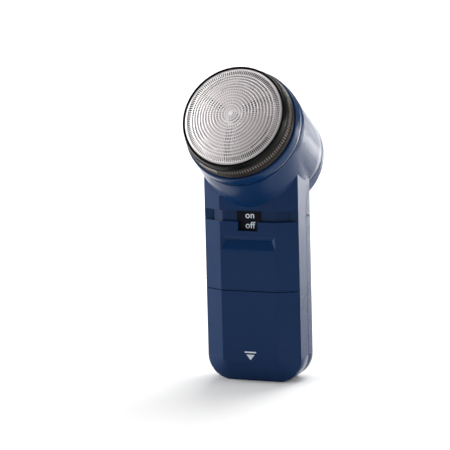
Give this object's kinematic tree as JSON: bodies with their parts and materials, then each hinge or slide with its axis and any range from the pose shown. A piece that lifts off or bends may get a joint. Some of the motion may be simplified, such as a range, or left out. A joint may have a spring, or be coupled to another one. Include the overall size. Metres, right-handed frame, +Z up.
{
  "type": "electric shaver",
  "caption": "Hand-held battery shaver with a round domed net on a tilted head, a slide switch on the grip and a sliding battery cover.",
  "frame": {"origin": "middle of the flat foot that the shaver stands on", "axes": "+Z up the grip, -Y the front face with the switch and the tilted net, +X to the right seen from the front"},
  "size_m": [0.0426, 0.0579, 0.1147],
  "materials": {
    "navy_plastic": "glossy navy blue moulded plastic",
    "black_plastic": "glossy black moulded plastic",
    "label_black": "satin black plastic",
    "foil_steel": "thin polished nickel foil",
    "spring_steel": "plated spring steel",
    "blade_steel": "hardened ground steel",
    "nickel_contact": "nickel plated strip",
    "brass_contact": "bright brass",
    "white_plastic": "satin off-white plastic",
    "grey_plastic": "satin grey plastic",
    "motor_steel": "zinc plated steel",
    "magnet": "dark ferrite",
    "armature_copper": "enamelled copper on laminations",
    "screw_steel": "nickel plated steel",
    "felt": "pressed felt",
    "cell_jacket": "plain two-tone film jacket",
    "lead_red": "red insulation",
    "lead_black": "black insulation"
  },
  "bodies": {
    "housing": {"front_housing": "navy_plastic", "rear_cover": "navy_plastic", "rear_cap": "navy_plastic", "head_collar": "navy_plastic", "switch_label_plate": "label_black", "case_screws": "screw_steel", "battery_chassis": "grey_plastic", "battery_cell_left": "cell_jacket", "battery_cell_right": "cell_jacket", "lower_contact_bridge": "nickel_contact", "lower_contact_spring": "spring_steel", "upper_contact_plate": "nickel_contact", "upper_spring_plate": "nickel_contact", "upper_contact_spring": "spring_steel", "switch_terminal_strips": "brass_contact", "switch_detent_spring": "spring_steel", "motor_plate": "white_plastic", "motor_screws": "screw_steel", "motor_can": "motor_steel", "motor_magnets": "magnet", "motor_end_bell": "white_plastic", "motor_terminals": "brass_contact", "shaft_seal": "felt", "motor_lead_red": "lead_red", "motor_lead_black": "lead_black"},
    "switch": {"switch_slider": "navy_plastic", "switch_bridge": "brass_contact"},
    "cover": {"battery_cover": "navy_plastic"},
    "net": {"net_frame": "black_plastic", "net_foil": "foil_steel", "net_retainer": "black_plastic"},
    "rotor": {"motor_shaft": "screw_steel", "motor_armature": "armature_copper", "drive_coupler": "grey_plastic", "rotor_spring": "spring_steel", "rotor_carrier": "white_plastic", "rotor_blades": "blade_steel", "rotor_clip": "spring_steel"}
  },
  "joints": [
    {"name": "switch_slide", "type": "slide", "parent": "housing", "child": "switch", "axis": [0, 0, 1], "range_m": [0, 0.0038]},
    {"name": "battery_cover_slide", "type": "slide", "parent": "housing", "child": "cover", "axis": [0, 0, -1], "range_m": [0, 0.036]},
    {"name": "net_pull_off", "type": "slide", "parent": "housing", "child": "net", "axis": [0, -0.8788, 0.4772], "range_m": [0, 0.02]},
    {"name": "rotor_spin", "type": "hinge", "parent": "housing", "child": "rotor", "pos_m": [0, -0.021, 0.09805], "axis": [0, -0.8788, 0.4772], "continuous": true}
  ]
}
